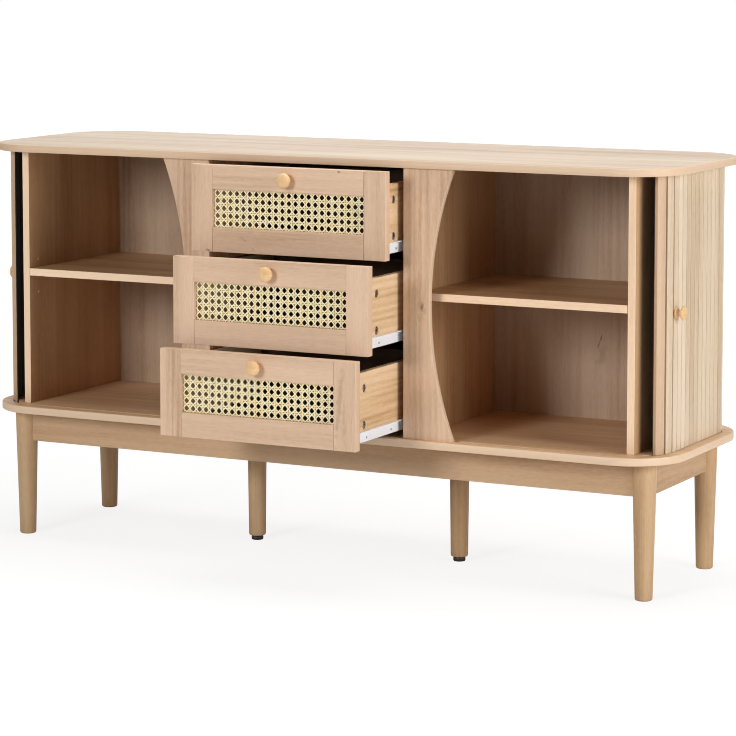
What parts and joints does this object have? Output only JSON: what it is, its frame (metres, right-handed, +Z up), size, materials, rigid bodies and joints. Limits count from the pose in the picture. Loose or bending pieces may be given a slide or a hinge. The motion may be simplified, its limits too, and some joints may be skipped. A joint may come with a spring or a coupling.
{
  "type": "sideboard",
  "caption": "Low sideboard on turned legs with wrap-round tambour doors, cane-fronted drawers between hollow-edged fascias, and shelved bays.",
  "frame": {"origin": "on the floor, under the middle of the top board", "axes": "+X to the right along the front, +Y to the back, +Z up"},
  "size_m": [1.48, 0.653, 0.8],
  "materials": {
    "oak": "matt light oak",
    "back_board": "matt light oak",
    "slat_oak": "matt light oak",
    "canvas": "black canvas",
    "turned_wood": "satin beech",
    "cane": "natural cane",
    "drawer_wood": "matt",
    "white_runner": "white epoxy",
    "nylon": "white nylon",
    "black_foot": "black",
    "pin_steel": "plain"
  },
  "bodies": {
    "cabinet": {"top_board": "oak", "bottom_board": "oak", "side_panels": "oak", "partitions": "oak", "fascias": "oak", "back_panel": "back_board", "shelves": "oak", "shelf_pins": "pin_steel", "aprons": "oak", "legs": "oak", "cabinet_runners": "white_runner", "left_tambour_cloth": "canvas", "right_tambour_cloth": "canvas"},
    "right_lead_stile_body": {"right_lead_stile": "slat_oak"},
    "right_slat_1_body": {"right_slat_1": "slat_oak"},
    "right_front_slats_body": {"right_front_slats": "slat_oak", "right_door_knob": "turned_wood"},
    "right_slat_14_body": {"right_slat_14": "slat_oak"},
    "right_slat_15_body": {"right_slat_15": "slat_oak"},
    "right_slat_16_body": {"right_slat_16": "slat_oak"},
    "right_slat_17_body": {"right_slat_17": "slat_oak"},
    "right_slat_18_body": {"right_slat_18": "slat_oak"},
    "right_pair_a_body": {"right_pair_a_slats": "slat_oak"},
    "right_pair_b_body": {"right_pair_b_slats": "slat_oak"},
    "right_rear_slats_body": {"right_rear_slats": "slat_oak"},
    "right_levelling_foot_body": {"right_levelling_foot": "black_foot"},
    "left_lead_stile_body": {"left_lead_stile": "slat_oak"},
    "left_slat_1_body": {"left_slat_1": "slat_oak"},
    "left_front_slats_body": {"left_front_slats": "slat_oak", "left_door_knob": "turned_wood"},
    "left_slat_14_body": {"left_slat_14": "slat_oak"},
    "left_slat_15_body": {"left_slat_15": "slat_oak"},
    "left_slat_16_body": {"left_slat_16": "slat_oak"},
    "left_slat_17_body": {"left_slat_17": "slat_oak"},
    "left_slat_18_body": {"left_slat_18": "slat_oak"},
    "left_pair_a_body": {"left_pair_a_slats": "slat_oak"},
    "left_pair_b_body": {"left_pair_b_slats": "slat_oak"},
    "left_rear_slats_body": {"left_rear_slats": "slat_oak"},
    "left_levelling_foot_body": {"left_levelling_foot": "black_foot"},
    "lower_drawer": {"lower_drawer_front": "oak", "lower_cane": "cane", "lower_drawer_knob": "turned_wood", "lower_drawer_box": "drawer_wood", "lower_drawer_runners": "white_runner"},
    "lower_rear_rollers_body": {"lower_rear_rollers": "nylon"},
    "lower_front_rollers_body": {"lower_front_rollers": "nylon"},
    "middle_drawer": {"middle_drawer_front": "oak", "middle_cane": "cane", "middle_drawer_knob": "turned_wood", "middle_drawer_box": "drawer_wood", "middle_drawer_runners": "white_runner"},
    "middle_rear_rollers_body": {"middle_rear_rollers": "nylon"},
    "middle_front_rollers_body": {"middle_front_rollers": "nylon"},
    "upper_drawer": {"upper_drawer_front": "oak", "upper_cane": "cane", "upper_drawer_knob": "turned_wood", "upper_drawer_box": "drawer_wood", "upper_drawer_runners": "white_runner"},
    "upper_rear_rollers_body": {"upper_rear_rollers": "nylon"},
    "upper_front_rollers_body": {"upper_front_rollers": "nylon"}
  },
  "joints": [
    {"name": "right_door_travel", "type": "hinge", "parent": "cabinet", "child": "right_front_slats_body", "pos_m": [0.4632, 0.0518, 0.53], "axis": [0, 0, -1], "range_deg": [0, 90], "deforming": ["right_lead_stile", "right_slat_1", "right_front_slats", "right_door_knob", "right_slat_14", "right_slat_15", "right_slat_16", "right_slat_17", "right_slat_18", "right_pair_a_slats", "right_pair_b_slats", "right_rear_slats", "right_tambour_cloth"]},
    {"name": "right_slat_1_turn", "type": "hinge", "parent": "right_front_slats_body", "child": "right_slat_1_body", "pos_m": [0.7081, -0.1247, 0.53], "axis": [0, 0, 1], "range_deg": [0, 14.17]},
    {"name": "right_lead_stile_turn", "type": "hinge", "parent": "right_slat_1_body", "child": "right_lead_stile_body", "pos_m": [0.70305, -0.14439, 0.53], "axis": [0, 0, 1], "range_deg": [0, 15.52]},
    {"name": "right_slat_14_turn", "type": "hinge", "parent": "right_front_slats_body", "child": "right_slat_14_body", "pos_m": [0.70791, 0.1268, 0.53], "axis": [0, 0, 1], "range_deg": [-17.22, 0]},
    {"name": "right_slat_15_turn", "type": "hinge", "parent": "right_slat_14_body", "child": "right_slat_15_body", "pos_m": [0.70142, 0.14813, 0.53], "axis": [0, 0, 1], "range_deg": [-15.33, 0]},
    {"name": "right_slat_16_turn", "type": "hinge", "parent": "right_slat_15_body", "child": "right_slat_16_body", "pos_m": [0.69013, 0.16583, 0.53], "axis": [0, 0, 1], "range_deg": [-15.33, 0]},
    {"name": "right_rear_slats_turn", "type": "hinge", "parent": "cabinet", "child": "right_rear_slats_body", "pos_m": [0.4632, -0.0518, 0.53], "axis": [0, 0, 1], "range_deg": [-90, 0]},
    {"name": "right_pair_b_turn", "type": "hinge", "parent": "right_rear_slats_body", "child": "right_pair_b_body", "pos_m": [0.54931, 0.19126, 0.53], "axis": [0, 0, 1], "range_deg": [-33.44, 0]},
    {"name": "right_pair_a_turn", "type": "hinge", "parent": "right_pair_b_body", "child": "right_pair_a_body", "pos_m": [0.59322, 0.19162, 0.53], "axis": [0, 0, 1], "range_deg": [-30.66, 0]},
    {"name": "right_slat_18_turn", "type": "hinge", "parent": "right_pair_a_body", "child": "right_slat_18_body", "pos_m": [0.62211, 0.19323, 0.53], "axis": [0, 0, 1], "range_deg": [-11.53, 0]},
    {"name": "right_slat_17_turn", "type": "hinge", "parent": "right_slat_18_body", "child": "right_slat_17_body", "pos_m": [0.65767, 0.18863, 0.53], "axis": [0, 0, 1], "range_deg": [0, 12.41]},
    {"name": "right_foot_screw", "type": "hinge", "parent": "cabinet", "child": "right_levelling_foot_body", "pos_m": [0.226, 0, 0], "axis": [0, 0, 1], "continuous": true},
    {"name": "left_door_travel", "type": "hinge", "parent": "cabinet", "child": "left_front_slats_body", "pos_m": [-0.4632, 0.0518, 0.53], "axis": [0, 0, 1], "range_deg": [0, 90], "deforming": ["left_lead_stile", "left_slat_1", "left_front_slats", "left_door_knob", "left_slat_14", "left_slat_15", "left_slat_16", "left_slat_17", "left_slat_18", "left_pair_a_slats", "left_pair_b_slats", "left_rear_slats", "left_tambour_cloth"]},
    {"name": "left_slat_1_turn", "type": "hinge", "parent": "left_front_slats_body", "child": "left_slat_1_body", "pos_m": [-0.7081, -0.1247, 0.53], "axis": [0, 0, 1], "range_deg": [-14.17, 0]},
    {"name": "left_lead_stile_turn", "type": "hinge", "parent": "left_slat_1_body", "child": "left_lead_stile_body", "pos_m": [-0.70305, -0.14439, 0.53], "axis": [0, 0, 1], "range_deg": [-15.52, 0]},
    {"name": "left_slat_14_turn", "type": "hinge", "parent": "left_front_slats_body", "child": "left_slat_14_body", "pos_m": [-0.70791, 0.1268, 0.53], "axis": [0, 0, 1], "range_deg": [0, 17.22]},
    {"name": "left_slat_15_turn", "type": "hinge", "parent": "left_slat_14_body", "child": "left_slat_15_body", "pos_m": [-0.70142, 0.14813, 0.53], "axis": [0, 0, 1], "range_deg": [0, 15.33]},
    {"name": "left_slat_16_turn", "type": "hinge", "parent": "left_slat_15_body", "child": "left_slat_16_body", "pos_m": [-0.69013, 0.16583, 0.53], "axis": [0, 0, 1], "range_deg": [0, 15.33]},
    {"name": "left_rear_slats_turn", "type": "hinge", "parent": "cabinet", "child": "left_rear_slats_body", "pos_m": [-0.4632, -0.0518, 0.53], "axis": [0, 0, 1], "range_deg": [0, 90]},
    {"name": "left_pair_b_turn", "type": "hinge", "parent": "left_rear_slats_body", "child": "left_pair_b_body", "pos_m": [-0.54931, 0.19126, 0.53], "axis": [0, 0, 1], "range_deg": [0, 33.44]},
    {"name": "left_pair_a_turn", "type": "hinge", "parent": "left_pair_b_body", "child": "left_pair_a_body", "pos_m": [-0.59322, 0.19162, 0.53], "axis": [0, 0, 1], "range_deg": [0, 30.66]},
    {"name": "left_slat_18_turn", "type": "hinge", "parent": "left_pair_a_body", "child": "left_slat_18_body", "pos_m": [-0.62211, 0.19323, 0.53], "axis": [0, 0, 1], "range_deg": [0, 11.53]},
    {"name": "left_slat_17_turn", "type": "hinge", "parent": "left_slat_18_body", "child": "left_slat_17_body", "pos_m": [-0.65767, 0.18863, 0.53], "axis": [0, 0, 1], "range_deg": [-12.41, 0]},
    {"name": "left_foot_screw", "type": "hinge", "parent": "cabinet", "child": "left_levelling_foot_body", "pos_m": [-0.226, 0, 0], "axis": [0, 0, 1], "continuous": true},
    {"name": "lower_drawer_slide", "type": "slide", "parent": "cabinet", "child": "lower_drawer", "axis": [0, -1, 0], "range_m": [-0.19, 0.07]},
    {"name": "lower_rear_roll", "type": "hinge", "parent": "lower_drawer", "child": "lower_rear_rollers_body", "pos_m": [0, -0.056, 0.2995], "axis": [1, 0, 0], "continuous": true},
    {"name": "lower_front_roll", "type": "hinge", "parent": "cabinet", "child": "lower_front_rollers_body", "pos_m": [0, -0.172, 0.2995], "axis": [1, 0, 0], "continuous": true},
    {"name": "middle_drawer_slide", "type": "slide", "parent": "cabinet", "child": "middle_drawer", "axis": [0, -1, 0], "range_m": [-0.14, 0.12]},
    {"name": "middle_rear_roll", "type": "hinge", "parent": "middle_drawer", "child": "middle_rear_rollers_body", "pos_m": [0, -0.006, 0.46917], "axis": [1, 0, 0], "continuous": true},
    {"name": "middle_front_roll", "type": "hinge", "parent": "cabinet", "child": "middle_front_rollers_body", "pos_m": [0, -0.172, 0.46917], "axis": [1, 0, 0], "continuous": true},
    {"name": "upper_drawer_slide", "type": "slide", "parent": "cabinet", "child": "upper_drawer", "axis": [0, -1, 0], "range_m": [-0.07, 0.19]},
    {"name": "upper_rear_roll", "type": "hinge", "parent": "upper_drawer", "child": "upper_rear_rollers_body", "pos_m": [0, 0.064, 0.63883], "axis": [1, 0, 0], "continuous": true},
    {"name": "upper_front_roll", "type": "hinge", "parent": "cabinet", "child": "upper_front_rollers_body", "pos_m": [0, -0.172, 0.63883], "axis": [1, 0, 0], "continuous": true}
  ],
  "couplings": [
    {"joint": "right_slat_1_turn", "follows": "right_door_travel", "ratio": 0.15739},
    {"joint": "right_lead_stile_turn", "follows": "right_door_travel", "ratio": 0.17233},
    {"joint": "right_slat_14_turn", "follows": "right_door_travel", "ratio": -0.19133},
    {"joint": "right_slat_15_turn", "follows": "right_door_travel", "ratio": -0.17031},
    {"joint": "right_slat_16_turn", "follows": "right_door_travel", "ratio": -0.17031},
    {"joint": "right_rear_slats_turn", "follows": "right_door_travel", "ratio": -1},
    {"joint": "right_pair_b_turn", "follows": "right_door_travel", "ratio": -0.37149},
    {"joint": "right_pair_a_turn", "follows": "right_door_travel", "ratio": -0.34061},
    {"joint": "right_slat_18_turn", "follows": "right_door_travel", "ratio": -0.12801},
    {"joint": "right_slat_17_turn", "follows": "right_door_travel", "ratio": 0.13787},
    {"joint": "left_slat_1_turn", "follows": "left_door_travel", "ratio": -0.15739},
    {"joint": "left_lead_stile_turn", "follows": "left_door_travel", "ratio": -0.17233},
    {"joint": "left_slat_14_turn", "follows": "left_door_travel", "ratio": 0.19133},
    {"joint": "left_slat_15_turn", "follows": "left_door_travel", "ratio": 0.17031},
    {"joint": "left_slat_16_turn", "follows": "left_door_travel", "ratio": 0.17031},
    {"joint": "left_rear_slats_turn", "follows": "left_door_travel", "ratio": 1},
    {"joint": "left_pair_b_turn", "follows": "left_door_travel", "ratio": 0.37149},
    {"joint": "left_pair_a_turn", "follows": "left_door_travel", "ratio": 0.34061},
    {"joint": "left_slat_18_turn", "follows": "left_door_travel", "ratio": 0.12801},
    {"joint": "left_slat_17_turn", "follows": "left_door_travel", "ratio": -0.13787},
    {"joint": "lower_rear_roll", "follows": "lower_drawer_slide", "rad_per_m": 142.86},
    {"joint": "lower_front_roll", "follows": "lower_drawer_slide", "rad_per_m": 142.86},
    {"joint": "middle_rear_roll", "follows": "middle_drawer_slide", "rad_per_m": 142.86},
    {"joint": "middle_front_roll", "follows": "middle_drawer_slide", "rad_per_m": 142.86},
    {"joint": "upper_rear_roll", "follows": "upper_drawer_slide", "rad_per_m": 142.86},
    {"joint": "upper_front_roll", "follows": "upper_drawer_slide", "rad_per_m": 142.86}
  ]
}
